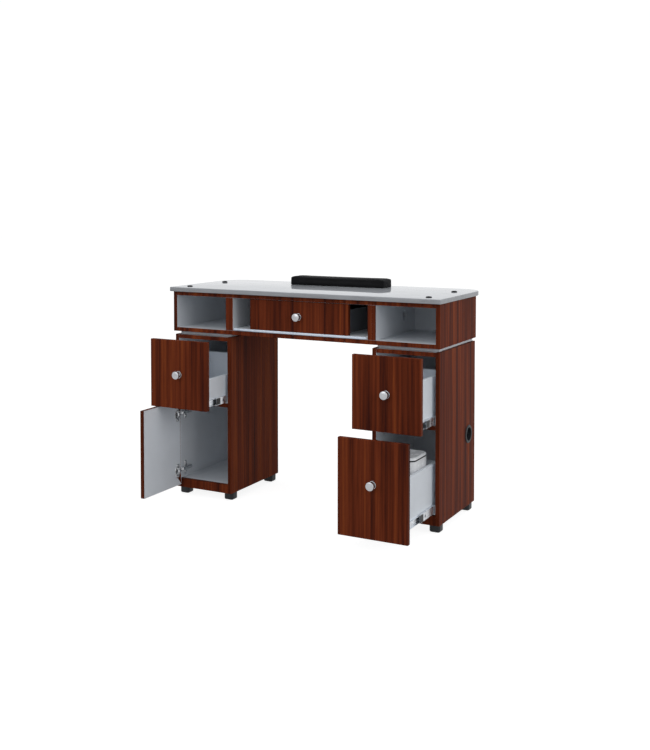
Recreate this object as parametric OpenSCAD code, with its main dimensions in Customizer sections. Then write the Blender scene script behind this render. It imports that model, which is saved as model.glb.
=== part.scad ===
// Manicure table with two pedestals, four drawers, a cupboard door and a waste bin.
// +X is to the right of the person who sits at the drawers, +Y points away from them, +Z is up.
// Every piece is drawn with the pedestals' front edges at Y = 0, then moved by seated().

/* [Worktop] */
// Width of the worktop
table_w = 1072; // [980:1:1290]
// Depth of the worktop
top_d = 433; // [400:1:500]
// Height of the worktop's upper face
table_h = 775; // [700:1:930]
// Thickness of the worktop
top_t = 16; // [10:1:24]
// Radius of the two corners on the customer's side
top_back_r = 85; // [20:1:100]
// Radius of the two corners on the technician's side
top_front_r = 6; // [2:1:20]
// How far the worktop stands out past the upper cabinet's sides
top_side_lap = 8; // [2:1:20]
// How far the worktop stands out past the upper cabinet's front
top_front_lap = 17; // [0:1:25]

/* [Worktop fittings] */
// Length of the arm rest
armrest_w = 392; // [300:1:480]
// Depth of the arm rest
armrest_d = 80; // [60:1:100]
// Height of the arm rest
armrest_h = 31; // [20:1:45]
// Gap between the arm rest and the worktop's edge on the customer's side
armrest_edge = 51; // [5:1:80]
// Diameter of the round stick-on pads
pad_dia = 20; // [14:1:30]
// Height of the round stick-on pads
pad_h = 4.8; // [3:0.1:8]
// Distance of the pads from the worktop's ends
pad_inset = 60; // [40:1:100]
// Spacing of the front and back pads
pad_pitch = 234; // [150:1:280]

/* [Cabinet] */
// Thickness of the boards
board_t = 15; // [12:0.5:19]
// Depth of the pedestals
ped_d = 336; // [330:1:400]
// Width of each pedestal
ped_w = 243; // [220:1:292]
// Height of the upper cabinet
apron_h = 148; // [130:1:180]
// How far the upper cabinet stands in front of the pedestals
apron_proud = 7; // [4:1:15]
// Thickness of the upper cabinet's back panel
apron_back_t = 6; // [3:0.5:15]
// How far the pedestals' outer faces stand inside the upper cabinet's sides
ped_inset = 3; // [0:1:12]
// Clear width of each open cubby
cubby_w = 214.5; // [170:0.5:240]
// Thickness of the blocks between the pedestals and the upper cabinet
spacer_t = 12; // [8:1:20]
// How far the blocks stand inside the pedestals' sides
spacer_inset = 10; // [4:1:20]
// How far the blocks stand behind the pedestals' fronts
spacer_set_back = 21; // [4:1:40]
// Height of the lower compartment
lower_bay_h = 283.5; // [240:0.5:330]
// Height of the rail under the lower compartment
rail_h = 31.5; // [25:0.5:45]
// Width of a foot
foot_w = 38; // [28:1:50]
// Height of a foot
foot_h = 28; // [12:1:40]
// Distance of the feet from the pedestal's sides and back
foot_inset = 5; // [2:1:20]
// Distance of the front feet from the pedestal's front
foot_set_back = 15; // [4:1:40]
// Diameter of the hole for cables in the right cubby
cable_hole_d = 38; // [25:1:50]
// Diameter of the opening in the port on the right pedestal
port_d = 46; // [30:1:60]
// Width of the port's flange around its opening
port_flange = 8.5; // [5:0.5:12]

/* [Drawers and door] */
// Thickness of the drawer fronts and of the door
front_t = 16; // [14:0.5:20]
// Gap between a closed front and the pedestal
front_gap = 2; // [1.5:0.1:3]
// Length of the drawer slides
slide_len = 300; // [250:1:305]
// Thickness of a drawer slide
slide_t = 12.7; // [12.2:0.1:14]
// Height of a drawer slide
slide_h = 30; // [26:1:32]
// Thickness of the drawers' walls
box_t = 12; // [9:0.5:16]
// Thickness of the drawers' bottoms
bottom_t = 6; // [3:0.5:9]
// Height of the upper left drawer's box
ul_box_h = 154; // [70:1:170]
// Height of its wall beside the knee space
ul_side_h = 97; // [70:1:170]
// Height of the upper right drawer's box
ur_box_h = 154; // [70:1:170]
// Height of the lower right drawer's box
lr_box_h = 159; // [100:1:200]
// How far the upper left drawer stands open
ul_open = 135; // [0:1:240]
// How far the upper right drawer stands open
ur_open = 138; // [0:1:240]
// How far the lower right drawer stands open
lr_open = 239; // [0:1:245]
// Angle at which the door stands open
door_open = 90; // [0:1:95]
// How far the door laps over the pedestal's edges
door_lap = 4.5; // [4:0.1:6]
// Width of the middle drawer's front
mid_front_w = 390; // [300:1:420]
// Length of the middle drawer
mid_len = 280; // [220:1:290]
// Height of the middle drawer's walls
mid_box_h = 80; // [50:1:90]
// Thickness of the pull-out tray under the middle drawer
tray_t = 8; // [6:0.5:12]
// Diameter of a knob's head
knob_d = 28; // [20:1:34]
// How far a knob stands out
knob_h = 22; // [16:1:23]

/* [Waste bin] */
// Width of the bin
bin_w = 125; // [100:1:140]
// Height of the bin with its lid
bin_h = 188; // [150:1:215]
// Radius of the bin's upright corners
bin_r = 24; // [15:1:35]
// Thickness of the bin's wall
bin_wall = 2.5; // [1.5:0.1:4]
// Gap between the bin and the drawer's right wall
bin_side_gap = 11; // [2:0.5:16]
// Gap between the bin and the drawer's back wall
bin_back_gap = 17; // [5:1:30]

/* [Hidden] */
$fn = 64;

// Colours
wood = [0.38, 0.15, 0.08];
melamine = [0.55, 0.56, 0.58];
stone = [0.84, 0.85, 0.87];
black = [0.05, 0.05, 0.06];
zinc = [0.75, 0.77, 0.80];
chrome = [0.85, 0.85, 0.87];
white = [0.92, 0.93, 0.95];

// Heights of the cabinet
apron_top = table_h - top_t;
apron_low = apron_top - apron_h;
apron_floor = apron_low + board_t;
apron_ceiling = apron_top - board_t;
ped_top = apron_low - spacer_t;
bay_floor = foot_h + rail_h;
shelf_low = bay_floor + lower_bay_h;
shelf_top = shelf_low + board_t;
front_split = shelf_top - 2.5;

// Arm rest, a pad with a board let into its underside
board_inset = 10;
armrest_board_t = 6;

// Widths and depths of the cabinet, measured from the middle plane and from the pedestals' fronts
apron_x = table_w / 2 - top_side_lap;
apron_in_x = apron_x - board_t;
cubby_x = apron_in_x - cubby_w;
bay_x = cubby_x - 2 * board_t;
ped_out_x = apron_x - ped_inset;
ped_in_x = ped_out_x - ped_w;
ped_mid_x = (ped_out_x + ped_in_x) / 2;
hold_x0 = ped_in_x + board_t;
hold_x1 = ped_out_x - board_t;
top_front_y = -apron_proud - top_front_lap;
top_back_y = top_front_y + top_d;
ped_back_in_y = ped_d - board_t;
apron_back_in_y = ped_d - apron_back_t;

// Drawer fronts. A reveal is the gap left round a front.
reveal = 1;
front_w = ped_w - 2 * reveal;
front_y = -front_gap - front_t;
low_front_z = foot_h + 12;
upper_front_z0 = front_split + reveal / 2;
lower_front_z1 = front_split - 4.5;
upper_knob_z = (upper_front_z0 + ped_top) / 2;
lower_knob_z = (low_front_z + lower_front_z1) / 2 + 16.5;

// Drawer boxes and slides. box_drop is how far a box reaches below its slide's centre line.
box_x0 = hold_x0 + slide_t;
box_x1 = hold_x1 - slide_t;
box_drop = 12;
upper_slide_z = shelf_top + slide_h / 2 + 2;
lower_slide_z = bay_floor + slide_h / 2 + 7;
upper_box_z = upper_slide_z - box_drop;
lower_box_z = lower_slide_z - box_drop;
bottom_lift = 2;
box_back_y = -front_gap + slide_len;
// Gap at each joint between the boards of a drawer box
hairline = 0.05;
sheet_t = 1;
member_gap = 0.8;
mid_member_h = slide_h - 2 * (sheet_t + member_gap);
drawer_member_h = mid_member_h - 2 * (sheet_t + member_gap);
mid_member_u = 3.4;
retainer_len = 24;

// Middle drawer and its tray. The tray runs in a channel on each side of the bay.
tray_gap = 0.3;
runner_t = 1.2;
runner_lip = 1;
runner_w = 10.5;
runner_set_back = 10;
tray_z = apron_floor + runner_lip + tray_gap;
tray_top = tray_z + tray_t;
tray_x = bay_x - runner_t - tray_gap;
mid_front_z0 = tray_top + tray_gap;
mid_front_z1 = apron_ceiling - 1.5;
mid_front_y = -apron_proud;
mid_box_x = mid_front_w / 2 - 30;
mid_box_y = mid_front_y + front_t;
trim_w = 2 * bay_x - 12;
trim_h = tray_t + 0.2;
trim_t = 4.3;

// Door. The pivot lies inside the door's thickness, near its hinged edge.
door_x0 = -hold_x1 - door_lap;
door_w = hold_x1 - hold_x0 + 2 * door_lap;
door_z0 = low_front_z + 1;
door_z1 = lower_front_z1 + 2;
door_pivot = [door_x0 + 5.5, front_y + 2.5, 0];
cup_r = 17.3;
cup_play = 0.2;
cup_depth = 11.5;
cup_edge = 22.5;
cup_zs = [door_z0 + 53, door_z1 - 48];
arm_w = 15;

// Cable hole and port
cable_hole_y = 236;
cable_hole_z = (apron_floor + apron_ceiling) / 2 + 0.5;
port_y = ped_d - 65;
port_z = bay_floor + 220.5;
port_flange_t = 3.5;
port_sleeve_t = 3.8;
port_play = 0.2;

// Bin, placed in the closed drawer
bin_x1 = box_x1 - box_t - bin_side_gap;
bin_y1 = box_back_y - box_t - bin_back_gap;
bin_z = lower_box_z + bottom_lift + bottom_t;
bin_lid_t = 8;
bin_seal_t = 4.5;
bin_body_h = bin_h - bin_lid_t - bin_seal_t;
bin_lip = 5;
bin_floor_t = 3;

// The origin is on the floor, under the middle of the space that the table takes up
front_most_y = min(front_y - lr_open, front_y - ur_open, front_y - ul_open) - knob_h;
origin_y = (front_most_y + top_back_y) / 2;

module seated() {
    translate([0, -origin_y, 0]) children();
}

// Draws the children on the right side for 1 and mirrored on the left side for -1
module on_side(side) {
    if (side < 0) mirror([1, 0, 0]) children();
    else children();
}

// A board between two corners
module board(low, high) {
    translate(low) cube(high - low);
}

// A flat shape with four equal round corners, from the origin's corner
module rounded_rect(w, d, r) {
    translate([r, 0]) square([w - 2 * r, d]);
    translate([0, r]) square([w, d - 2 * r]);
    for (x = [r, w - r], y = [r, d - r]) translate([x, y]) circle(r);
}

// ---------- Worktop and its fittings ----------

module worktop() {
    front_r = top_front_r;
    back_r = top_back_r;
    color(stone) seated() translate([-table_w / 2, top_front_y, apron_top]) linear_extrude(top_t) {
        translate([0, front_r]) square([table_w, top_d - front_r - back_r]);
        translate([front_r, 0]) square([table_w - 2 * front_r, front_r + 1]);
        translate([back_r, top_d - back_r - 1]) square([table_w - 2 * back_r, back_r + 1]);
        for (x = [front_r, table_w - front_r]) translate([x, front_r]) circle(front_r);
        for (x = [back_r, table_w - back_r]) translate([x, top_d - back_r]) circle(back_r);
    }
}

module worktop_pads() {
    front_pad_y = top_front_y + 47;
    color(black) seated() for (x = [-1, 1], y = [0, pad_pitch])
        translate([x * (table_w / 2 - pad_inset), front_pad_y + y, table_h]) cylinder(h = pad_h, d = pad_dia);
}

// Moves the children to the arm rest's front corner on the left
module armrest_place() {
    seated() translate([-armrest_w / 2, top_back_y - armrest_edge - armrest_d, table_h]) children();
}

module armrest_board_shape() {
    board([board_inset, board_inset, 0], [armrest_w - board_inset, armrest_d - board_inset, armrest_board_t]);
}

module armrest_cushion() {
    color(black) armrest_place() difference() {
        board([0, 0, 0], [armrest_w, armrest_d, armrest_h]);
        translate([0, 0, -1]) armrest_board_shape();
        armrest_board_shape();
    }
}

module armrest_board() {
    color("tan") armrest_place() armrest_board_shape();
}

// ---------- Upper cabinet ----------

module apron_side(side) {
    color(wood) seated() on_side(side)
        board([apron_in_x, -apron_proud, apron_low], [apron_x, ped_d, apron_top]);
}

module apron_bottom_board() {
    color(melamine) seated()
        board([-apron_in_x, -apron_proud, apron_low], [apron_in_x, apron_back_in_y, apron_floor]);
}

module apron_top_board() {
    color(melamine) seated()
        board([-apron_in_x, -apron_proud, apron_ceiling], [apron_in_x, apron_back_in_y, apron_top]);
}

module apron_back_panel() {
    color(wood) seated() board([-apron_in_x, apron_back_in_y, apron_low], [apron_in_x, ped_d, apron_top]);
}

module cable_hole() {
    translate([0, cable_hole_y, cable_hole_z]) rotate([0, 90, 0]) cylinder(h = apron_x, d = cable_hole_d);
}

// An upright wall inside the upper cabinet, from x to x + board_t on each side
module inner_walls(x) {
    color(melamine) seated() {
        on_side(-1) board([x, -apron_proud, apron_floor], [x + board_t, apron_back_in_y, apron_ceiling]);
        difference() {
            board([x, -apron_proud, apron_floor], [x + board_t, apron_back_in_y, apron_ceiling]);
            cable_hole();
        }
    }
}

module cubby_inner_walls() { inner_walls(cubby_x - board_t); }

module centre_bay_walls() { inner_walls(bay_x); }

// A channel open towards the middle, which guides one edge of the tray
module centre_tray_runners() {
    runner_y = -apron_proud + runner_set_back;
    runner_h = tray_t + 2 * (tray_gap + runner_lip);
    color(zinc) seated() for (side = [-1, 1]) on_side(side) difference() {
        board([bay_x - runner_w, runner_y, apron_floor], [bay_x, apron_back_in_y, apron_floor + runner_h]);
        board([bay_x - runner_w - 1, runner_y - 1, apron_floor + runner_lip],
            [bay_x - runner_t, apron_back_in_y + 1, apron_floor + runner_h - runner_lip]);
    }
}

// ---------- Pedestals ----------

module pedestal_spacers() {
    color(melamine) seated() for (side = [-1, 1]) on_side(side)
        board([ped_in_x + spacer_inset, spacer_set_back, ped_top], [ped_out_x - spacer_inset, ped_d, apron_low]);
}

module side_board(x) {
    board([x, 0, foot_h], [x + board_t, ped_d, ped_top]);
}

module port_axis() {
    translate([ped_out_x, port_y, port_z]) rotate([0, 90, 0]) children();
}

module left_pedestal_outer_side() { color(wood) seated() on_side(-1) side_board(hold_x1); }

module left_pedestal_inner_side() { color(wood) seated() on_side(-1) side_board(ped_in_x); }

module right_pedestal_inner_side() { color(wood) seated() side_board(ped_in_x); }

module right_pedestal_outer_side() {
    sleeve_r = port_d / 2 + port_sleeve_t;
    color(wood) seated() difference() {
        side_board(hold_x1);
        port_axis() cylinder(h = 3 * board_t, r = sleeve_r + port_play, center = true);
    }
}

module hose_port_ring() {
    opening_r = port_d / 2;
    color(black) seated() port_axis() rotate_extrude() translate([opening_r, 0]) polygon([
        [0, -board_t], [port_sleeve_t, -board_t], [port_sleeve_t, 0], [port_flange, 0],
        [port_flange, port_flange_t - 1.5], [port_flange - 1.5, port_flange_t], [0, port_flange_t]]);
}

// A level board inside each pedestal
module level_boards(y0, z0) {
    color(melamine) seated() for (side = [-1, 1]) on_side(side)
        board([hold_x0, y0, z0], [hold_x1, ped_back_in_y, z0 + board_t]);
}

module pedestal_top_boards() { level_boards(0, ped_top - board_t); }

module pedestal_middle_shelves() { level_boards(0, shelf_low); }

module pedestal_bottom_boards() { level_boards(board_t, bay_floor - board_t); }

module pedestal_back_panels() {
    color(wood) seated() for (side = [-1, 1]) on_side(side)
        board([hold_x0, ped_back_in_y, foot_h], [hold_x1, ped_d, ped_top]);
}

module pedestal_front_rails() {
    color(wood) seated() for (side = [-1, 1]) on_side(side)
        board([hold_x0, 0, foot_h], [hold_x1, board_t, bay_floor]);
}

// A foot is a square block with a narrower pad under it
module foot() {
    pad_t = 4;
    pad_step = 2;
    translate([pad_step, pad_step, 0]) linear_extrude(pad_t)
        rounded_rect(foot_w - 2 * pad_step, foot_w - 2 * pad_step, 4);
    translate([0, 0, pad_t]) linear_extrude(foot_h - pad_t) rounded_rect(foot_w, foot_w, 6);
}

module pedestal_feet() {
    xs = [ped_in_x + foot_inset, ped_out_x - foot_inset - foot_w];
    ys = [foot_set_back, ped_d - foot_inset - foot_w];
    color(black) seated() for (side = [-1, 1]) on_side(side)
        for (x = xs, y = ys) translate([x, y, 0]) foot();
}

// ---------- Drawer slides ----------

// Outline of a channel: web at u to u + sheet_t, lips reaching to lip_u, height h
module channel_outline(u, lip_u, h) {
    web = u < lip_u ? u : u - sheet_t;
    translate([web, -h / 2]) square([sheet_t, h]);
    for (v = [-h / 2, h / 2 - sheet_t]) translate([min(u, lip_u), v]) square([abs(lip_u - u), sheet_t]);
}

// A channel running along Y from y0, drawn for the slide on a pedestal's left wall
module channel(u, lip_u, h, y0, len, z) {
    translate([hold_x0, y0 + len, z]) rotate([90, 0, 0]) linear_extrude(len) channel_outline(u, lip_u, h);
}

// Screw holes through a channel's web
module screw_holes(y0, z, places, d) {
    for (y = places) translate([hold_x0 - 1, y0 + y, z]) rotate([0, 90, 0]) cylinder(h = slide_t + 2, d = d);
}

// Both slides of a drawer: the children are drawn on the left wall and turned over for the right wall
module slide_pair() {
    children();
    translate([2 * ped_mid_x, 0, 0]) mirror([1, 0, 0]) children();
}

module cabinet_channel(z) {
    slide_pair() difference() {
        channel(0, 8.6, slide_h, 0, slide_len, z);
        screw_holes(0, z, [35, slide_len / 2, slide_len - 40], 4.5);
    }
}

module cabinet_slide_channels() {
    color(zinc) seated() {
        on_side(-1) cabinet_channel(upper_slide_z);
        cabinet_channel(upper_slide_z);
        cabinet_channel(lower_slide_z);
    }
}

module middle_slides(side, z, open) {
    color(zinc) seated() on_side(side) translate([0, -open / 2, 0]) slide_pair() difference() {
        channel(mid_member_u, 11, mid_member_h, 0, slide_len, z);
        screw_holes(0, z, [45, slide_len / 2, slide_len - 45], 9);
    }
}

// A black stop on the wall side of each middle member, at its front end
module slide_retainers(side, z, open) {
    play = 0.4;
    retainer_h = mid_member_h - 4;
    color(black) seated() on_side(side) translate([0, -open / 2, 0]) slide_pair()
        board([hold_x0 + sheet_t + play, 0.5, z - retainer_h / 2],
            [hold_x0 + mid_member_u, retainer_len, z + retainer_h / 2]);
}

module drawer_slides(side, z, open) {
    color(zinc) seated() on_side(side) translate([0, -open - front_gap, 0]) slide_pair() difference() {
        channel(slide_t, 5.4, drawer_member_h, 0, slide_len, z);
        screw_holes(0, z, [20, 52, 84, slide_len / 2, slide_len - 84, slide_len - 30], 6);
    }
}

// ---------- Pedestal drawers ----------

module drawer_front(side, z0, z1, open) {
    x0 = ped_mid_x - front_w / 2;
    color(wood) seated() on_side(side) translate([0, -open, 0])
        board([x0, front_y, z0], [x0 + front_w, -front_gap, z1]);
}

// inner_h is the height of the wall beside the knee space, h the height of the others
module drawer_walls(side, z0, h, inner_h, open) {
    back_x0 = box_x0 + box_t + hairline;
    back_x1 = box_x1 - box_t - hairline;
    color(melamine) seated() on_side(side) translate([0, -open, 0]) {
        board([box_x0, -front_gap, z0], [box_x0 + box_t, box_back_y, z0 + inner_h]);
        board([box_x1 - box_t, -front_gap, z0], [box_x1, box_back_y, z0 + h]);
        board([back_x0, box_back_y - box_t, z0], [back_x1, box_back_y, z0 + h]);
    }
}

module drawer_bottom(side, z0, open) {
    color(melamine) seated() on_side(side) translate([0, -open, z0 + bottom_lift])
        board([box_x0 + box_t, -front_gap, 0], [box_x1 - box_t, box_back_y - box_t, bottom_t]);
}

// Knob on its axis: a foot disc, a neck and a domed head
module knob_shape() {
    foot_r = knob_d * 0.4;
    neck_r = knob_d * 0.22;
    head_r = knob_d / 2;
    rim_h = knob_h * 0.55;
    dome_h = knob_h - rim_h - 2;
    rotate_extrude() polygon(concat(
        [[0, 0], [foot_r, 0], [foot_r, 2], [foot_r - 1.5, 3], [neck_r, 4.5], [neck_r, rim_h - 4],
            [head_r - 2, rim_h], [head_r, rim_h + 0.8], [head_r, rim_h + 2]],
        [for (a = [10:10:80]) [head_r * cos(a), rim_h + 2 + dome_h * sin(a)]],
        [[0, knob_h]]));
}

module knob(x, y, z) {
    color(chrome) seated() translate([x, y, z]) rotate([90, 0, 0]) knob_shape();
}

// ---------- Middle drawer ----------

module centre_drawer_front() {
    color(wood) seated() board([-mid_front_w / 2, mid_front_y, mid_front_z0],
        [mid_front_w / 2, mid_box_y, mid_front_z1]);
}

module centre_drawer_walls() {
    back_y = mid_box_y + mid_len;
    back_x = mid_box_x - box_t - hairline;
    top_z = tray_top + mid_box_h;
    color(melamine) seated() {
        for (side = [-1, 1]) on_side(side)
            board([mid_box_x - box_t, mid_box_y, tray_top], [mid_box_x, back_y, top_z]);
        board([-back_x, back_y - box_t, tray_top], [back_x, back_y, top_z]);
    }
}

module centre_tray() {
    color(melamine) seated() board([-tray_x, mid_front_y, tray_z], [tray_x, mid_box_y + mid_len, tray_top]);
}

module centre_tray_trim() {
    trim_z = tray_z + (tray_t - trim_h) / 2;
    color(zinc) seated() board([-trim_w / 2, mid_front_y - trim_t, trim_z],
        [trim_w / 2, mid_front_y, trim_z + trim_h]);
}

// ---------- Door ----------

// The door is drawn closed and turned about its pivot
module door_hung() {
    seated() translate(door_pivot) rotate([0, 0, -door_open]) translate(-door_pivot) children();
}

module cup_axis(z) {
    translate([door_x0 + cup_edge, -front_gap, z]) rotate([90, 0, 0]) children();
}

module left_door_panel() {
    color(wood) door_hung() difference() {
        board([door_x0, front_y, door_z0], [door_x0 + door_w, -front_gap, door_z1]);
        for (z = cup_zs) cup_axis(z) translate([0, 0, -1])
            cylinder(h = cup_depth + 1.5, r = cup_r + cup_play);
    }
}

module left_door_knob() {
    color(chrome) door_hung() translate([door_x0 + door_w / 2, front_y, lower_knob_z])
        rotate([90, 0, 0]) knob_shape();
}

// A steel cup with a flat flange that lies on the door's inner face
module door_hinge_cups() {
    flange_t = 1.2;
    flange_h = 52;
    flange_w = 24;
    cup_wall = 1.5;
    color(chrome) door_hung() for (z = cup_zs) cup_axis(z) difference() {
        union() {
            cylinder(h = cup_depth, r = cup_r);
            translate([-flange_w / 2, -flange_h / 2, -flange_t]) cube([flange_w, flange_h, flange_t]);
        }
        translate([0, 0, -flange_t - 1]) cylinder(h = cup_depth - cup_wall + flange_t + 1, r = 10);
    }
}

// A plate screwed to the pedestal's wall and the arm that it carries
module door_hinge_arms() {
    plate_t = 3;
    plate_y = 28;
    arm_y = 1.5;
    arm_len = 58;
    color(chrome) seated() for (z = cup_zs) {
        board([-hold_x1, plate_y, z - 25], [-hold_x1 + plate_t, plate_y + 14, z + 25]);
        board([-hold_x1 + plate_t, arm_y, z - 7], [-hold_x1 + arm_w, arm_y + arm_len, z + 7]);
    }
}

// ---------- Waste bin ----------

// The bin stands in the lower right drawer and moves with it
module bin_place(z) {
    seated() translate([bin_x1 - bin_w, bin_y1 - bin_w - lr_open, bin_z + z]) children();
}

module bin_outline(inset) {
    translate([inset, inset]) rounded_rect(bin_w - 2 * inset, bin_w - 2 * inset, bin_r - inset);
}

module waste_bin_body() {
    color(white) bin_place(0) difference() {
        linear_extrude(bin_body_h) bin_outline(0);
        translate([0, 0, bin_floor_t]) linear_extrude(bin_body_h) bin_outline(bin_wall);
    }
}

module waste_bin_seal() {
    color(black) bin_place(bin_body_h) linear_extrude(bin_seal_t) difference() {
        bin_outline(0.5);
        bin_outline(bin_wall + 3);
    }
}

module waste_bin_lid() {
    lip_play = 0.5;
    color(white) bin_place(bin_body_h + bin_seal_t) {
        linear_extrude(bin_lid_t) bin_outline(0);
        translate([0, 0, -bin_lip - bin_seal_t]) linear_extrude(bin_lip + bin_seal_t + 1) difference() {
            bin_outline(bin_wall + 3 + lip_play);
            bin_outline(bin_wall + 5.5 + lip_play);
        }
    }
}

// ---------- Choice of piece ----------

worktop();
worktop_pads();
armrest_cushion();
armrest_board();
apron_side(-1);  // apron_left_side
apron_side(1);  // apron_right_side
apron_bottom_board();
apron_top_board();
apron_back_panel();
cubby_inner_walls();
centre_bay_walls();
centre_tray_runners();
pedestal_spacers();
left_pedestal_outer_side();
left_pedestal_inner_side();
right_pedestal_outer_side();
right_pedestal_inner_side();
pedestal_top_boards();
pedestal_middle_shelves();
pedestal_bottom_boards();
pedestal_back_panels();
pedestal_front_rails();
pedestal_feet();
hose_port_ring();
cabinet_slide_channels();
door_hinge_arms();
centre_drawer_front();
centre_drawer_walls();
centre_tray();
centre_tray_trim();
knob(0, mid_front_y, (mid_front_z0 + mid_front_z1) / 2);  // centre_drawer_knob
drawer_front(-1, upper_front_z0, ped_top, ul_open);  // upper_left_drawer_front
drawer_walls(-1, upper_box_z, ul_box_h, ul_side_h, ul_open);  // upper_left_drawer_walls
drawer_bottom(-1, upper_box_z, ul_open);  // upper_left_drawer_bottom
knob(-ped_mid_x, front_y - ul_open, upper_knob_z);  // upper_left_drawer_knob
drawer_slides(-1, upper_slide_z, ul_open);  // upper_left_drawer_slides
middle_slides(-1, upper_slide_z, ul_open);  // upper_left_middle_slides
slide_retainers(-1, upper_slide_z, ul_open);  // upper_left_slide_retainers
drawer_front(1, upper_front_z0, ped_top, ur_open);  // upper_right_drawer_front
drawer_walls(1, upper_box_z, ur_box_h, ur_box_h, ur_open);  // upper_right_drawer_walls
drawer_bottom(1, upper_box_z, ur_open);  // upper_right_drawer_bottom
knob(ped_mid_x, front_y - ur_open, upper_knob_z);  // upper_right_drawer_knob
drawer_slides(1, upper_slide_z, ur_open);  // upper_right_drawer_slides
middle_slides(1, upper_slide_z, ur_open);  // upper_right_middle_slides
slide_retainers(1, upper_slide_z, ur_open);  // upper_right_slide_retainers
drawer_front(1, low_front_z, lower_front_z1, lr_open);  // lower_right_drawer_front
drawer_walls(1, lower_box_z, lr_box_h, lr_box_h, lr_open);  // lower_right_drawer_walls
drawer_bottom(1, lower_box_z, lr_open);  // lower_right_drawer_bottom
knob(ped_mid_x, front_y - lr_open, lower_knob_z);  // lower_right_drawer_knob
drawer_slides(1, lower_slide_z, lr_open);  // lower_right_drawer_slides
middle_slides(1, lower_slide_z, lr_open);  // lower_right_middle_slides
slide_retainers(1, lower_slide_z, lr_open);  // lower_right_slide_retainers
left_door_panel();
left_door_knob();
door_hinge_cups();
waste_bin_body();
waste_bin_seal();
waste_bin_lid();
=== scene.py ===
"""Manicure table: the finishes, the soft and turned pieces and the studio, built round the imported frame."""

import math

import bmesh
import bpy
import numpy as np
from bpy.props import FloatProperty, FloatVectorProperty, IntProperty, PointerProperty
from mathutils import Euler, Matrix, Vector


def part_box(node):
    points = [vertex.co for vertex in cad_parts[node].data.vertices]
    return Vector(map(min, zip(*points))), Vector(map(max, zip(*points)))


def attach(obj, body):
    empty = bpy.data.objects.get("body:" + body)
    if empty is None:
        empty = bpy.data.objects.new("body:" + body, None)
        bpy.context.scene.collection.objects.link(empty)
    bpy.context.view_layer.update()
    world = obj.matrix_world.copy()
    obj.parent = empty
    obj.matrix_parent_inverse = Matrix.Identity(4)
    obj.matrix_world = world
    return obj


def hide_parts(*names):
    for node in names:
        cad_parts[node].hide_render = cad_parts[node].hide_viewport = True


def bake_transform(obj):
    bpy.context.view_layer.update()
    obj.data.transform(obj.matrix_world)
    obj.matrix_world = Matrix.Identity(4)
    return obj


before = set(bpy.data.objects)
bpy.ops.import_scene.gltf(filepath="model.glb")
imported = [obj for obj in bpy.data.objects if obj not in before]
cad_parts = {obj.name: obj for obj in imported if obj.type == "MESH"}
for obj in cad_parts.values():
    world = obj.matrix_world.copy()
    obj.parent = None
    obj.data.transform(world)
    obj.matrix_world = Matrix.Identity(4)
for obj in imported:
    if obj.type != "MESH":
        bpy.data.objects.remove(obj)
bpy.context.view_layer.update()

bl_info = {
    "name": "Manicure Table",
    "version": (1, 0, 0),
    "blender": (4, 5, 0),
    "location": "View3D > Sidebar > Table",
    "description": "Boards, worktop, arm rest, slides, hinges, knobs, feet and bin of a manicure table",
    "category": "Object",
}

LEFT, RIGHT = (-1, 0, 0), (1, 0, 0)
FRONT, BACK = (0, -1, 0), (0, 1, 0)
DOWN, UP = (0, 0, -1), (0, 0, 1)
MM = 0.001
SQUARE_MM = 1e-6
LEAST_FACE = 100 * SQUARE_MM
PAD_RADIUS = 10 * MM
FILL_FRAMES = 20
DRAWER_SCREWS = (20 * MM, 84 * MM, 216 * MM)
CABINET_SCREWS = (35 * MM, 260 * MM)
CHANNEL_WEB = 11.7 * MM
SHEET_WEB = 1.0 * MM


# ---------- Sizes and colours ----------


class FinishSettings(bpy.types.PropertyGroup):
    wood_light: FloatVectorProperty(
        name="Light streak", description="Lightest streak of the wood print",
        default=(0.250, 0.056, 0.0155), min=0, max=1, subtype="COLOR")
    wood_middle: FloatVectorProperty(
        name="Ground", description="Ground colour of the wood print",
        default=(0.150, 0.029, 0.0110), min=0, max=1, subtype="COLOR")
    wood_dark: FloatVectorProperty(
        name="Dark streak", description="Darkest streak of the wood print",
        default=(0.050, 0.0105, 0.0075), min=0, max=1, subtype="COLOR")
    streak_width: FloatProperty(
        name="Streak width", description="Width of a broad streak of the wood print",
        default=0.026, min=0.005, max=0.2, unit="LENGTH")
    melamine: FloatVectorProperty(
        name="Cabinet lining", description="Colour of the boards' inner faces",
        default=(0.70, 0.73, 0.77), min=0, max=1, subtype="COLOR")
    drawer_sheet: FloatVectorProperty(
        name="Drawer boxes", description="Colour of the drawer boxes and the door's inner face",
        default=(0.84, 0.885, 0.94), min=0, max=1, subtype="COLOR")
    # Painted shade: the middle drawer's walls and the back of its front get this dark sheet because they lie
    # in shade.
    painted_shade_sheet: FloatVectorProperty(
        name="Middle drawer", description="Colour of the middle drawer's walls",
        default=(0.19, 0.20, 0.215), min=0, max=1, subtype="COLOR")
    stone: FloatVectorProperty(
        name="Worktop", description="Ground colour of the worktop",
        default=(0.61, 0.63, 0.67), min=0, max=1, subtype="COLOR")
    vinyl: FloatVectorProperty(
        name="Arm rest", description="Colour of the arm rest's cover",
        default=(0.007, 0.007, 0.008), min=0, max=1, subtype="COLOR")


class BoardSettings(bpy.types.PropertyGroup):
    board_edge: FloatProperty(
        name="Board edge", description="Rounding of the boards' banded edges",
        default=0.0008, min=0.0001, max=0.003, unit="LENGTH")
    metal_edge: FloatProperty(
        name="Sheet edge", description="Rounding of the sheet metal and small plastic pieces",
        default=0.00025, min=0.00005, max=0.001, unit="LENGTH")
    edge_steps: IntProperty(
        name="Edge steps", description="Segments in a rounded edge", default=2, min=1, max=6)


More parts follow.
